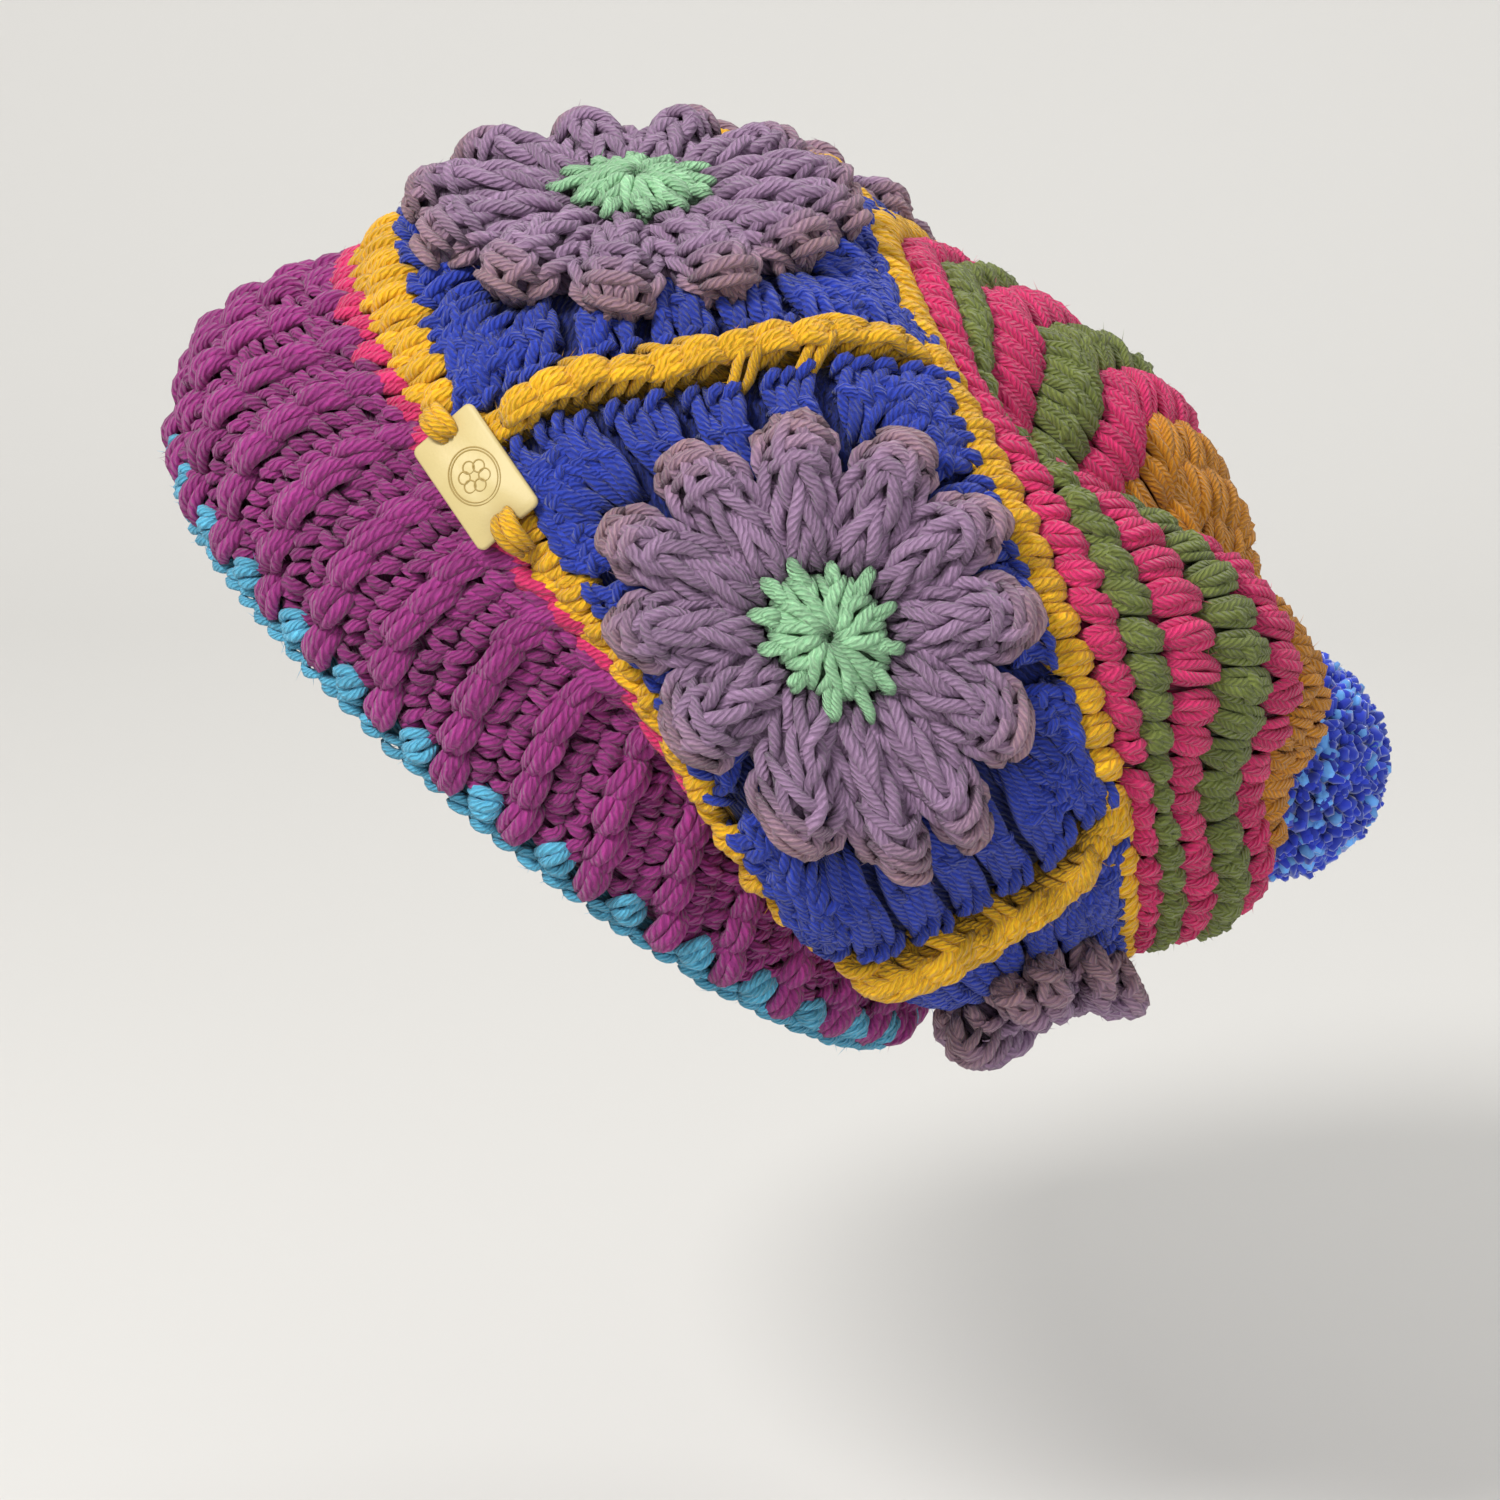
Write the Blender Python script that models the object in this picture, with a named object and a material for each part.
"""A chunky crocheted bobble hat, kept in the slouchy shape that a head gives it.

The wearer faces -Y, the wearer's left is +X and +Z is up. The origin lies on the
inner face of the crown, at its highest point, where the hat rests on the head.

The whole hat is one curved fabric. A point of it is named by its turn round the
head in degrees (0 at the front and top, 90 at the wearer's left, 180 at the nape),
its depth from the hem in metres of fabric, and how far it stands out of the middle
of the fabric. hat_point() gives its place, and every knitted piece is cut from it.
"""

import math
from collections import namedtuple
from functools import lru_cache

import bmesh
import bpy
from mathutils import Matrix, Vector

# Driving sizes, in metres

# The box that the fabric's rings are set out in, as worn
HAT_LENGTH = 0.240
HAT_HEIGHT = 0.200
HAT_WIDTH = 0.180

# Depth of each piece along the fabric, from the hem to the closed end of the crown
HEM_DEPTH = 0.007
BAND_DEPTH = 0.047
JOINING_DEPTH = 0.006
SQUARE_DEPTH = 0.115
STRIPE_DEPTH = 0.011
CAP_DEPTH = 0.032

# Thickness of the fabric, and how far the stitches stand up from it
WALL = 0.0050
HEM_WALL = 0.0060
JOINING_WALL = 0.0036
RIB_RISE = 0.0026
STRIPE_RISE = 0.0012
RIDGE_RISE = 0.0042
BORDER_WIDTH = 0.0085
JOIN_GAP = 0.0007

# Flowers, with their petals worked round a centre. FLOWER_EYE_TOP is the radius of the
# centre's top as a share of its foot, FLOWER_EYE_POINT its height in the middle as a share
# of its rise, and FLOWER_ROOM the share of the blue ground that a flower may fill.
FLOWER_RADIUS = 0.0425
FLOWER_RISE = 0.0085
FLOWER_LIFT = 0.0012
FLOWER_EYE = 0.0125
FLOWER_EYE_RISE = 0.0070
FLOWER_EYE_GAP = 0.0006
FLOWER_EYE_TOP = 0.75
FLOWER_EYE_POINT = 1.1
FLOWER_ROOM = 0.96

# Pompom and label
POMPOM_RADIUS = 0.025
POMPOM_TUFT = 0.0035
POMPOM_TUFT_GAP = 0.0016
NEST_GAP = 0.0012
TAG_LENGTH = 0.0250
TAG_WIDTH = 0.0150
TAG_THICK = 0.0013
TAG_NOTCH = 0.0016
TAG_GAP = 0.0007

# Counts
SQUARES = 5
CELLS_PER_SQUARE = 7
STRIPES = 5
RIBS = 34
COLUMNS_PER_RIB = 2
PETALS = 12

FABRIC_DEPTH = (
    HEM_DEPTH + BAND_DEPTH + JOINING_DEPTH + SQUARE_DEPTH + STRIPES * STRIPE_DEPTH + CAP_DEPTH
)
BAND_TOP = HEM_DEPTH + BAND_DEPTH
SQUARES_START = BAND_TOP + JOINING_DEPTH
SQUARES_END = SQUARES_START + SQUARE_DEPTH

# Turns, in degrees
FULL_TURN = 360.0
FIRST_SQUARE_TURN = 15.0
SQUARE_TURN = FULL_TURN / SQUARES

# The rings of the fabric. depth is a share of FABRIC_DEPTH. front and nape are the two
# points where the ring crosses the middle plane, in shares of HAT_LENGTH and HAT_HEIGHT.
# half_width is its reach to the side and side_lead how far its sides run ahead of the
# middle towards the closed end, both in shares of HAT_WIDTH. drift, in degrees, turns
# the sides up towards the front, and sag turns what hangs low at the back down again.
Section = namedtuple(
    "Section", "depth front_y front_z nape_y nape_z half_width side_lead drift sag"
)
SECTIONS = (
    Section(0.000, -0.376, -0.272, 0.222, -0.851, 0.417, 0.000, 0, 0),
    Section(0.103, -0.340, -0.136, 0.241, -0.758, 0.442, 0.000, 0, 0),
    Section(0.206, -0.242, -0.074, 0.232, -0.690, 0.442, 0.006, 0, 0),
    Section(0.229, -0.219, -0.056, 0.245, -0.715, 0.452, 0.006, 0, 0),
    Section(0.336, -0.121, 0.007, 0.300, -0.772, 0.492, 0.000, 4, 5),
    Section(0.447, 0.002, 0.029, 0.350, -0.782, 0.500, 0.011, 6, 8),
    Section(0.557, 0.117, 0.013, 0.382, -0.762, 0.483, 0.044, 11, 8),
    Section(0.668, 0.221, -0.049, 0.412, -0.735, 0.450, 0.078, 15, 0),
    Section(0.767, 0.298, -0.094, 0.452, -0.724, 0.422, 0.100, 16, 0),
    Section(0.836, 0.381, -0.164, 0.482, -0.716, 0.355, 0.122, 16, 0),
    Section(0.878, 0.416, -0.216, 0.494, -0.696, 0.300, 0.122, 16, 0),
    Section(0.920, 0.462, -0.325, 0.502, -0.662, 0.210, 0.110, 16, 0),
    Section(0.962, 0.482, -0.440, 0.498, -0.628, 0.110, 0.030, 8, 0),
    Section(1.000, 0.490, -0.560, 0.491, -0.590, 0.017, 0.000, 0, 0),
)

# The fold that sinks in along each joining of two squares and runs on to the closed end.
# spread is in degrees, pull_in a share of the ring's radius, pull_back of HAT_LENGTH.
Fold = namedtuple("Fold", "spread pull_in pull_back")
FOLDS = (
    Fold(19, 0.13, 0.071),
    Fold(17, 0.08, 0.042),
    Fold(17, 0.06, 0.025),
    Fold(17, 0.08, 0.042),
    Fold(19, 0.10, 0.050),
)
FOLD_START = 0.630
FOLD_FULL = 0.840
FOLD_FADE = 0.880
FOLD_END = 0.965
SAG_TURN = 128.0
SAG_SPREAD = 26.0

# The pouch where the squares roll over and hang outside the band at the sides and nape.
# flare is how far they hang off the band and drop how far they are lowered along it, both
# in shares of HAT_WIDTH. The depths are shares of FABRIC_DEPTH.
POUCH_FLARE = 0.056
POUCH_DROP = 0.058
POUCH_NAPE_DROP = 0.010
POUCH_FIRST_TURN = 66.0
POUCH_FULL_TURN = 118.0
POUCH_NAPE_TURN = 165.0
POUCH_ROLL_START = 0.150
POUCH_ROLL_END = 0.230
POUCH_DROP_END = 0.270
POUCH_FADE_START = 0.270
POUCH_FADE_END = 0.480

# Where the ribs start to sink into the band, as a share of its depth, and between which
# places along a square's side its ridge rises, as shares of half its depth
RIB_FADE = 0.55
RIDGE_START = 0.78
RIDGE_FULL = 0.62

# Where the pompom's middle hangs, in shares of HAT_LENGTH and HAT_HEIGHT
POMPOM_Y = 0.544
POMPOM_Z = -0.574

# The nest that the pompom presses into the closed end. NEST_BLEND is how softly its lip
# turns, in metres, and NEST_STEEP how far out the ball presses, as a share of its radius.
# It starts and is full at these shares of FABRIC_DEPTH.
NEST_BLEND = 0.0080
NEST_STEEP = 0.9
NEST_START = 0.58
NEST_FULL = 0.72

# Where the label lies: its turn, and its depth as a share of the squares' depth
TAG_TURN = 56.0
TAG_DEPTH_SHARE = 0.030

# Rows of facets lie closer together by this power where the fabric rolls over
BUNCHING = 1.3

MERGE = 0.00001
SHARP_ANGLE = 50.0


def ease(value):
    """Run smoothly from 0 to 1."""
    value = min(max(value, 0.0), 1.0)
    return value * value * (3.0 - 2.0 * value)


def between(value, low, high):
    return ease((value - low) / (high - low))


def turn_difference(turn, other):
    """The signed angle between two turns, from -180 to 180 degrees."""
    return (turn - other + 180.0) % FULL_TURN - 180.0


def seam_turn(number):
    """The turn of the joining after the given square."""
    return FIRST_SQUARE_TURN + (number + 0.5) * SQUARE_TURN


def section_slope(number):
    """The change of each value of a section for a unit of depth."""
    last = len(SECTIONS) - 1
    before = SECTIONS[max(number - 1, 0)]
    here = SECTIONS[number]
    after = SECTIONS[min(number + 1, last)]
    step_before = here.depth - before.depth
    step_after = after.depth - here.depth
    slopes = []
    for low, middle, high in zip(before, here, after):
        if step_before == 0.0:
            slopes.append((high - middle) / step_after)
        elif step_after == 0.0:
            slopes.append((middle - low) / step_before)
        else:
            rise_before = (middle - low) / step_before
            rise_after = (high - middle) / step_after
            total = step_before + step_after
            slopes.append((rise_before * step_after + rise_after * step_before) / total)
    return slopes


SECTION_SLOPES = [section_slope(number) for number in range(len(SECTIONS))]


@lru_cache(maxsize=None)
def section_at(depth):
    """The ring at a share of the fabric's depth, on a smooth curve through SECTIONS."""
    number = 0
    while number < len(SECTIONS) - 2 and SECTIONS[number + 1].depth <= depth:
        number += 1
    low = SECTIONS[number]
    high = SECTIONS[number + 1]
    step = high.depth - low.depth
    t = (depth - low.depth) / step
    weights = (
        2 * t**3 - 3 * t**2 + 1,
        (t**3 - 2 * t**2 + t) * step,
        3 * t**2 - 2 * t**3,
        (t**3 - t**2) * step,
    )
    columns = zip(low, SECTION_SLOPES[number], high, SECTION_SLOPES[number + 1])
    return Section(*(sum(w * value for w, value in zip(weights, column)) for column in columns))


def ring_point(turn, depth):
    """A point of the fabric's middle before the pouch and the pompom's nest."""
    share = depth / FABRIC_DEPTH
    section = section_at(share)
    front = Vector((0.0, section.front_y * HAT_LENGTH, section.front_z * HAT_HEIGHT))
    nape = Vector((0.0, section.nape_y * HAT_LENGTH, section.nape_z * HAT_HEIGHT))
    centre = (front + nape) / 2
    reach = (front - nape) / 2
    closed_end = Vector((0.0, reach.z, -reach.y)).normalized()
    side = Vector((section.half_width * HAT_WIDTH, 0.0, 0.0))
    angle = math.radians(turn)
    away = (abs(turn_difference(turn, 0.0)) - SAG_TURN) / SAG_SPREAD
    sag = math.copysign(section.sag * math.exp(-away * away), math.sin(angle))
    around = angle - math.radians(section.drift * math.sin(angle) - sag)
    pull_in = 0.0
    pull_back = 0.0
    strength = between(share, FOLD_START, FOLD_FULL) * (1.0 - between(share, FOLD_FADE, FOLD_END))
    for number, fold in enumerate(FOLDS):
        away = turn_difference(turn, seam_turn(number)) / fold.spread
        sink = strength * math.exp(-away * away)
        pull_in += fold.pull_in * sink
        pull_back += fold.pull_back * HAT_LENGTH * sink
    lead = section.side_lead * HAT_WIDTH * math.sin(around) ** 2
    radius = reach * math.cos(around) + side * math.sin(around)
    return centre + radius * (1.0 - pull_in) + closed_end * (lead - pull_back)


@lru_cache(maxsize=None)
def band_directions(turn):
    """Down along the band, and straight out of it, at a turn."""
    step = 2.0
    top_depth = POUCH_ROLL_START * FABRIC_DEPTH
    top = ring_point(turn, top_depth)
    down = (ring_point(turn, top_depth / 2) - top).normalized()
    along = ring_point(turn + step, top_depth) - ring_point(turn - step, top_depth)
    outward = down.cross(along).normalized()
    return down, outward


def pouch_shift(turn, depth):
    """How far the front edge of the squares hangs out and down over the band."""
    share = depth / FABRIC_DEPTH
    side = abs(turn_difference(turn, 0.0))
    spread = between(side, POUCH_FIRST_TURN, POUCH_FULL_TURN)
    fade = 1.0 - between(share, POUCH_FADE_START, POUCH_FADE_END)
    if share < POUCH_ROLL_START or spread * fade == 0.0:
        return Vector((0.0, 0.0, 0.0))
    rolled = (share - POUCH_ROLL_START) / (POUCH_ROLL_END - POUCH_ROLL_START)
    roll_angle = math.pi * spread * min(rolled, 1.0)
    flare = POUCH_FLARE * (1.0 - math.cos(roll_angle)) / 2
    lift = POUCH_FLARE * math.sin(roll_angle) / 2
    nape = between(side, POUCH_FULL_TURN, POUCH_NAPE_TURN)
    drop = POUCH_DROP + (POUCH_NAPE_DROP - POUCH_DROP) * nape
    drop *= spread * between(share, POUCH_ROLL_START, POUCH_DROP_END)
    down, outward = band_directions(round(turn, 3))
    return (down * (drop - lift) + outward * flare) * HAT_WIDTH * fade


def pompom_centre():
    return Vector((0.0, POMPOM_Y * HAT_LENGTH, POMPOM_Z * HAT_HEIGHT))


def press_nest(point, strength):
    """Press the closed end in, towards the front, so that the pompom nests in it."""
    centre = pompom_centre()
    clear = POMPOM_RADIUS + WALL / 2 + NEST_GAP
    offset = point - centre
    spread = math.hypot(offset.x, offset.z)
    turning = NEST_STEEP * clear
    if spread < turning:
        limit = -math.sqrt(clear * clear - spread * spread)
    else:
        depth = math.sqrt(clear * clear - turning * turning)
        limit = -depth + (spread - turning) * turning / depth
    blend = NEST_BLEND * min(spread / turning, 1.0)
    excess = offset.y - limit
    push = (excess + math.sqrt(excess * excess + blend * blend)) / 2
    return point - Vector((0.0, push * strength, 0.0))


def middle_point(turn, depth):
    point = ring_point(turn, depth) + pouch_shift(turn, depth)
    strength = between(depth / FABRIC_DEPTH, NEST_START, NEST_FULL)
    return press_nest(point, strength) if strength > 0.0 else point


def outward_at(turn, depth):
    """The direction straight out of the fabric."""
    turn_step = 0.5
    depth_step = 0.0004
    depth = min(depth, FABRIC_DEPTH - depth_step)
    around = middle_point(turn + turn_step, depth) - middle_point(turn - turn_step, depth)
    along = middle_point(turn, depth + depth_step) - middle_point(turn, depth - depth_step)
    return around.cross(along).normalized()


def highest_inner_point():
    """The highest point of the crown's inner face in the middle plane."""
    steps = 60
    best = None
    for number in range(steps + 1):
        depth = SQUARES_START + SQUARE_DEPTH * number / steps
        point = middle_point(0.0, depth) - outward_at(0.0, depth) * WALL / 2
        if best is None or point.z > best.z:
            best = point
    return Vector((0.0, best.y, best.z))


ORIGIN = highest_inner_point()


def hat_point(turn, depth, out):
    """A point of the hat, out metres from the middle of its fabric."""
    return middle_point(turn, depth) + outward_at(turn, depth) * out - ORIGIN


def metres_per_degree(turn, depth):
    return (middle_point(turn + 1.0, depth) - middle_point(turn - 1.0, depth)).length / 2


def stretch_along(turn, depth):
    """Metres of real length for each metre of depth."""
    step = 0.004
    ends = middle_point(turn, depth + step) - middle_point(turn, depth - step)
    return ends.length / (2 * step)


def material(name, colour, roughness):
    made = bpy.data.materials.new(name)
    made.use_nodes = True
    shader = made.node_tree.nodes["Principled BSDF"]
    shader.inputs["Base Color"].default_value = (*colour, 1.0)
    shader.inputs["Roughness"].default_value = roughness
    shader.inputs["Metallic"].default_value = 0.0
    made.diffuse_color = (*colour, 1.0)
    return made


def add_object(bm, name, look, collection):
    """Turn a closed bmesh into a named object with its faces pointing out.

    The curved facets are split along their shorter way, so that neighbours keep apart.
    """
    bmesh.ops.triangulate(bm, faces=bm.faces[:])
    bmesh.ops.recalc_face_normals(bm, faces=bm.faces[:])
    if bm.calc_volume(signed=True) < 0:
        bmesh.ops.reverse_faces(bm, faces=bm.faces[:])
    mesh = bpy.data.meshes.new(name)
    bm.to_mesh(mesh)
    bm.free()
    mesh.shade_smooth()
    mesh.set_sharp_from_angle(angle=math.radians(SHARP_ANGLE))
    mesh.materials.append(look)
    made = bpy.data.objects.new(name, mesh)
    collection.objects.link(made)
    return made


def fabric_solid(name, look, collection, columns, rows, closed, place):
    """A wall of fabric between two skins.

    place(across, along, inner) gives each point, with across and along from 0 to 1 and
    inner 0 on the outer skin and 1 on the inner one. A closed wall runs all the way
    round, so its first and last columns are one.
    """
    bm = bmesh.new()
    bmesh.ops.create_grid(bm, x_segments=columns, y_segments=rows, size=0.5)
    across = bm.verts.layers.float.new("across")
    along = bm.verts.layers.float.new("along")
    for vert in bm.verts:
        vert[across] = vert.co.x + 0.5
        vert[along] = vert.co.y + 0.5
        if closed:
            angle = 2 * math.pi * vert[across]
            vert.co = (math.cos(angle), math.sin(angle), vert[along])
    if closed:
        bmesh.ops.remove_doubles(bm, verts=bm.verts[:], dist=MERGE)
    grown = bmesh.ops.extrude_face_region(bm, geom=bm.faces[:], use_keep_orig=True)
    inner_skin = {item for item in grown["geom"] if isinstance(item, bmesh.types.BMVert)}
    for vert in bm.verts:
        vert.co = place(vert[across], vert[along], 1.0 if vert in inner_skin else 0.0)
    return add_object(bm, name, look, collection)


def ring_wall(name, look, collection, columns, rows, start, end, profile, bunching=1.0):
    """A ring of fabric from one depth to another; profile gives outer and inner faces."""

    def place(across, along, inner):
        depth = start + (end - start) * along**bunching
        outer_face, inner_face = profile(across, along)
        out = inner_face if inner else outer_face
        return hat_point(seam_turn(0) + FULL_TURN * across, depth, out)

    return fabric_solid(name, look, collection, columns, rows, True, place)


def make_hem_edging(look, collection):
    def profile(across, along):
        phase = math.cos(2 * math.pi * across * RIBS)
        outer = HEM_WALL / 2 - RIB_RISE / 4 * (1 + phase)
        return outer, -HEM_WALL / 2

    columns = RIBS * COLUMNS_PER_RIB
    ring_wall("hem_edging", look, collection, columns, 1, 0.0, HEM_DEPTH - JOIN_GAP, profile)


def make_rib_band(look, collection):
    def profile(across, along):
        phase = math.cos(2 * math.pi * across * RIBS)
        rise = RIB_RISE * (1 - phase) / 2 * (1 - between(along, RIB_FADE, 1.0))
        return WALL / 2 + rise, -WALL / 2

    columns = RIBS * COLUMNS_PER_RIB
    end = BAND_TOP - 2 * JOIN_GAP
    ring_wall("rib_band", look, collection, columns, 4, HEM_DEPTH, end, profile, 1 / BUNCHING)


def make_joining_round(look, collection):
    def profile(across, along):
        return JOINING_WALL / 2, -JOINING_WALL / 2

    columns = SQUARES * CELLS_PER_SQUARE
    end = SQUARES_START - 2 * JOIN_GAP
    ring_wall("joining_round", look, collection, columns, 1, BAND_TOP, end, profile)


def border_turn():
    """The border's width as a turn, at the hat's widest ring."""
    return math.degrees(BORDER_WIDTH / (HAT_WIDTH / 2))


def gap_turn():
    return math.degrees(JOIN_GAP / (HAT_WIDTH / 2))


def square_turn(number):
    return FIRST_SQUARE_TURN + number * SQUARE_TURN


def square_place(number, sideways, lengthways, out):
    """A point of a square, from -1 to 1 both ways, and out from the fabric's middle."""
    turn = square_turn(number) + sideways * SQUARE_TURN / 2
    depth = SQUARES_START + SQUARE_DEPTH * (lengthways + 1) / 2
    return hat_point(turn, depth, out)


def bunch_rows(lengthways):
    """Move the rows of a square, from -1 to 1, towards its front edge."""
    return 2 * ((lengthways + 1) / 2) ** BUNCHING - 1


def ground_limits():
    """How far the blue ground reaches, as shares of a square's half sides."""
    sideways = 1 - 2 * (border_turn() + 2 * gap_turn()) / SQUARE_TURN
    lengthways = 1 - 2 * (BORDER_WIDTH + 2 * JOIN_GAP) / SQUARE_DEPTH
    return sideways, lengthways


def make_square_ground(number, look, collection):
    side_limit, length_limit = ground_limits()

    def place(across, along, inner):
        sideways = (2 * across - 1) * side_limit
        lengthways = bunch_rows(2 * along - 1) * length_limit
        out = -WALL / 2 if inner else WALL / 2
        return square_place(number, sideways, lengthways, out)

    name = "square_ground_%d" % (number + 1)
    fabric_solid(name, look, collection, CELLS_PER_SQUARE, CELLS_PER_SQUARE, False, place)


def perimeter(share):
    """Walk round a square from -1 to 1: sideways and lengthways places."""
    walk = (share * 4) % 4
    side = int(walk)
    step = 2 * (walk - side) - 1
    return ((step, -1), (1, step), (-step, 1), (-1, -step))[side]


def make_square_border(number, look, collection):
    side_limit, length_limit = ground_limits()
    side_inner = side_limit + 2 * gap_turn() / SQUARE_TURN
    length_inner = length_limit + 2 * JOIN_GAP / SQUARE_DEPTH
    side_outer = 1 - gap_turn() / SQUARE_TURN
    back_outer = 1 - 2 * JOIN_GAP / SQUARE_DEPTH

    def place(across, along, inner):
        sideways, lengthways = perimeter(across)
        lengthways = bunch_rows(lengthways)
        ridge = between(abs(lengthways), RIDGE_START, RIDGE_FULL) * (abs(sideways) == 1.0)
        if along > 0.5:
            sideways *= side_inner
            lengthways *= length_inner
            ridge = 0.0
        else:
            sideways *= side_outer
            lengthways *= back_outer if lengthways > 0 else 1.0
        out = -WALL / 2 if inner else WALL / 2 + RIDGE_RISE * ridge
        return square_place(number, sideways, lengthways, out)

    name = "square_border_%d" % (number + 1)
    fabric_solid(name, look, collection, 4 * CELLS_PER_SQUARE, 1, True, place)


def flower_scale(number):
    """Degrees and metres of depth for a metre across and along a flower."""
    turn = square_turn(number)
    depth = SQUARES_START + SQUARE_DEPTH / 2
    side_limit, length_limit = ground_limits()
    room_across = FLOWER_ROOM * side_limit * SQUARE_TURN / 2
    room_along = FLOWER_ROOM * length_limit * SQUARE_DEPTH / 2
    across = min(1 / metres_per_degree(turn, depth), room_across / FLOWER_RADIUS)
    along = min(1 / stretch_along(turn, depth), room_along / FLOWER_RADIUS)
    return turn, depth, across, along


def flower_point(number, radius, angle, out):
    turn, depth, across, along = flower_scale(number)
    sideways = radius * math.cos(angle)
    lengthways = radius * math.sin(angle)
    return hat_point(turn + sideways * across, depth + lengthways * along, out)


# A petal from the flower's eye to its tip: radius as a share of FLOWER_RADIUS, and the
# height of its crest and of the groove beside it as shares of FLOWER_RISE
Petal = namedtuple("Petal", "radius crest groove")
PETAL_ROWS = (
    Petal(0.31, 0.60, 0.50),
    Petal(0.58, 0.92, 0.66),
    Petal(0.86, 1.00, 0.62),
    Petal(1.00, 0.55, 0.30),
)
PETAL_NOTCH = 0.10


def make_flower(number, look, collection):
    columns_per_petal = 3
    floor = WALL / 2 + FLOWER_LIFT

    def place(across, along, inner):
        row = round(along * (len(PETAL_ROWS) - 1))
        petal = PETAL_ROWS[row]
        groove = round(across * PETALS * columns_per_petal) % columns_per_petal == 0
        radius = petal.radius * FLOWER_RADIUS
        if row == 0:
            radius = FLOWER_EYE + FLOWER_EYE_GAP
        elif groove:
            radius *= 1 - PETAL_NOTCH * row / (len(PETAL_ROWS) - 1)
        height = FLOWER_RISE * (petal.groove if groove else petal.crest)
        out = floor if inner else floor + height
        return flower_point(number, radius, 2 * math.pi * across, out)

    columns = PETALS * columns_per_petal
    rows = len(PETAL_ROWS) - 1
    fabric_solid("flower_%d" % (number + 1), look, collection, columns, rows, True, place)


def make_flower_centre(number, look, collection):
    bm = bmesh.new()
    bmesh.ops.create_cone(
        bm,
        cap_ends=True,
        cap_tris=True,
        segments=2 * PETALS,
        radius1=FLOWER_EYE,
        radius2=FLOWER_EYE * FLOWER_EYE_TOP,
        depth=1.0,
    )
    floor = WALL / 2 + FLOWER_LIFT
    for vert in bm.verts:
        radius = math.hypot(vert.co.x, vert.co.y)
        angle = math.atan2(vert.co.y, vert.co.x)
        rise = FLOWER_EYE_RISE * (1.0 if radius > MERGE else FLOWER_EYE_POINT)
        out = floor if vert.co.z < 0 else floor + rise
        vert.co = flower_point(number, radius, angle, out)
    add_object(bm, "flower_centre_%d" % (number + 1), look, collection)


def make_crown_stripe(number, look, collection):
    start = SQUARES_END + number * STRIPE_DEPTH
    end = start + STRIPE_DEPTH - JOIN_GAP

    def profile(across, along):
        bulge = STRIPE_RISE * (1 - abs(2 * along - 1))
        return WALL / 2 + bulge, -WALL / 2

    name = "crown_stripe_%d" % (number + 1)
    columns = SQUARES * CELLS_PER_SQUARE
    ring_wall(name, look, collection, columns, 2, start, end, profile)


def make_crown_cap(look, collection):
    start = SQUARES_END + STRIPES * STRIPE_DEPTH

    def profile(across, along):
        return WALL / 2, -WALL / 2

    columns = SQUARES * CELLS_PER_SQUARE
    ring_wall("crown_cap", look, collection, columns, 5, start, FABRIC_DEPTH, profile)


def make_pompom(look, collection):
    bm = bmesh.new()
    bmesh.ops.create_icosphere(bm, subdivisions=2, radius=POMPOM_RADIUS - POMPOM_TUFT)
    bmesh.ops.inset_individual(
        bm, faces=bm.faces[:], thickness=POMPOM_TUFT_GAP, depth=POMPOM_TUFT
    )
    for vert in bm.verts:
        if vert.co.length > POMPOM_RADIUS - POMPOM_TUFT / 2:
            vert.co = vert.co.normalized() * POMPOM_RADIUS
        vert.co += pompom_centre() - ORIGIN
    add_object(bm, "pompom", look, collection)


def tag_seat():
    """The plane that the flat label rests on: its middle and its three directions."""
    depth = SQUARES_START + TAG_DEPTH_SHARE * SQUARE_DEPTH
    half_turn = TAG_LENGTH / 2 / metres_per_degree(TAG_TURN, depth)
    half_depth = TAG_WIDTH / 2

    def seat_point(sideways, lengthways, out=0.0):
        turn = TAG_TURN + half_turn * sideways
        return hat_point(turn, depth + half_depth * lengthways, out)

    middle = seat_point(0, 0)
    along = seat_point(1, 0) - seat_point(-1, 0)
    across = seat_point(0, 1) - seat_point(0, -1)
    outward = along.cross(across).normalized()
    along.normalize()
    across = outward.cross(along)
    steps = 8
    height = 0.0
    for row in range(-steps, steps + 1):
        for column in range(-steps, steps + 1):
            on_band = depth + half_depth * row / steps < BAND_TOP
            out = WALL / 2 + (RIB_RISE if on_band else 0.0)
            point = seat_point(column / steps, row / steps, out)
            height = max(height, (point - middle).dot(outward))
    return middle + outward * (height + TAG_GAP), along, across, outward


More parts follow.
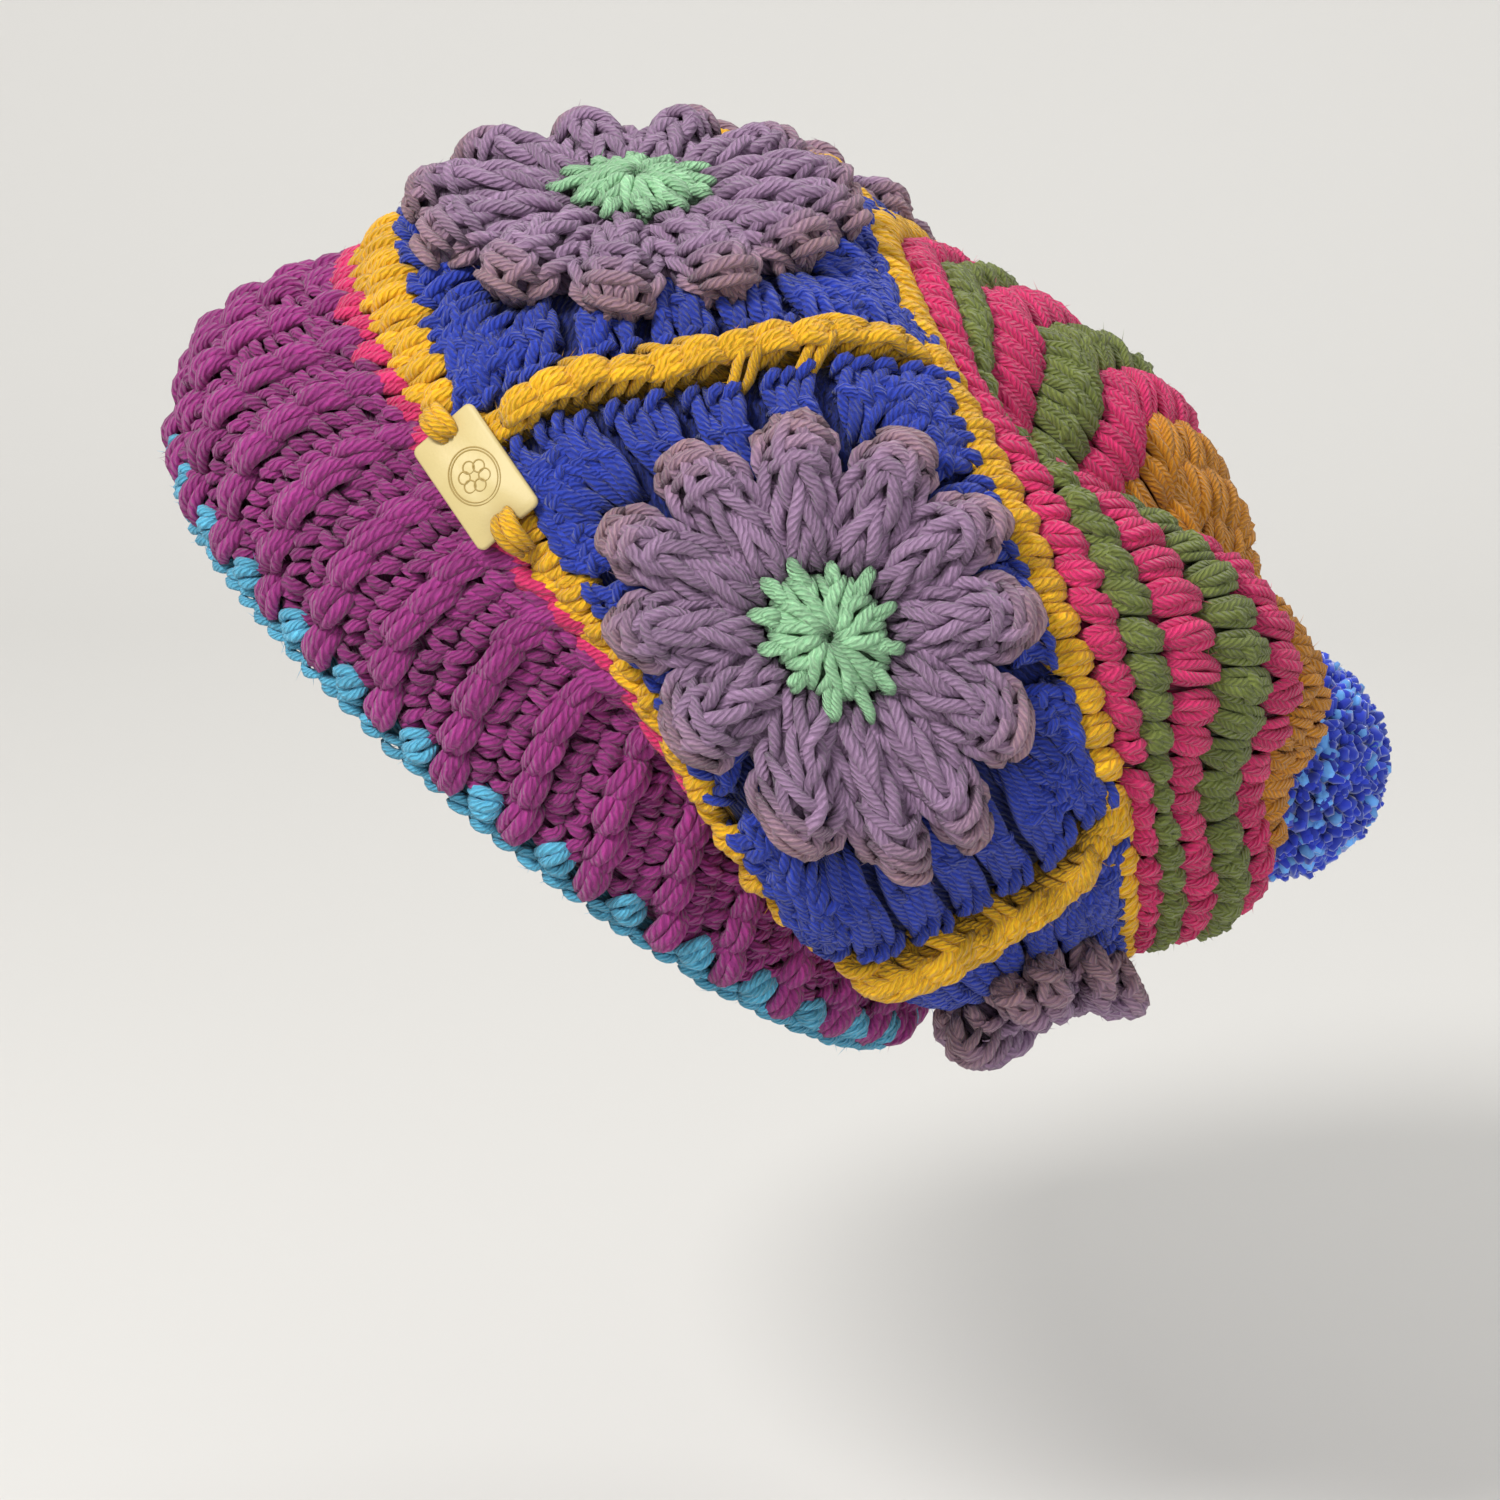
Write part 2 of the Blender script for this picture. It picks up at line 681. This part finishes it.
def make_maker_tag(look, collection):
    """A plain flat label with a nick in each end, lying on the squares' front border."""
    seat, along, across, outward = tag_seat()
    bm = bmesh.new()
    bmesh.ops.create_grid(bm, x_segments=4, y_segments=4, size=1.0)
    for vert in bm.verts:
        column, row = round(2 * vert.co.x), round(2 * vert.co.y)
        nick = TAG_NOTCH if abs(column) == 2 and row == 0 else 0.0
        half_wide = TAG_WIDTH / 2 if abs(row) == 2 else 2 * TAG_NOTCH
        vert.co = (column / 2 * (TAG_LENGTH / 2 - nick), row / 2 * half_wide, 0.0)
    lower = bmesh.ops.extrude_face_region(bm, geom=bm.faces[:], use_keep_orig=True)
    raised = {item for item in lower["geom"] if isinstance(item, bmesh.types.BMVert)}
    frame = Matrix((along, across, outward)).transposed()
    for vert in bm.verts:
        height = TAG_THICK if vert in raised else 0.0
        vert.co = seat + frame @ (vert.co + Vector((0.0, 0.0, height)))
    add_object(bm, "maker_tag", look, collection)


def main():
    for old in list(bpy.data.objects):
        bpy.data.objects.remove(old)
    collection = bpy.data.collections.new("bobble_hat")
    bpy.context.scene.collection.children.link(collection)

    sky_blue = material("sky_blue_yarn", (0.11, 0.45, 0.70), 0.85)
    magenta = material("magenta_yarn", (0.35, 0.03, 0.22), 0.85)
    pink = material("crimson_pink_yarn", (0.70, 0.03, 0.14), 0.85)
    cobalt = material("cobalt_yarn", (0.02, 0.05, 0.45), 0.85)
    yellow = material("sunny_yellow_yarn", (0.90, 0.50, 0.01), 0.85)
    lilac = material("dusky_lilac_yarn", (0.28, 0.18, 0.28), 0.85)
    mint = material("mint_yarn", (0.29, 0.65, 0.37), 0.85)
    olive = material("olive_yarn", (0.16, 0.21, 0.05), 0.85)
    mustard = material("mustard_yarn", (0.75, 0.31, 0.01), 0.85)
    plush = material("royal_blue_plush", (0.02, 0.05, 0.52), 0.95)
    leather = material("cream_leather", (0.72, 0.60, 0.25), 0.55)

    make_hem_edging(sky_blue, collection)
    make_rib_band(magenta, collection)
    make_joining_round(pink, collection)
    for number in range(SQUARES):
        make_square_ground(number, cobalt, collection)
        make_square_border(number, yellow, collection)
        make_flower(number, lilac, collection)
        make_flower_centre(number, mint, collection)
    for number in range(STRIPES):
        make_crown_stripe(number, olive if number % 2 else pink, collection)
    make_crown_cap(mustard, collection)
    make_pompom(plush, collection)
    make_maker_tag(leather, collection)


main()
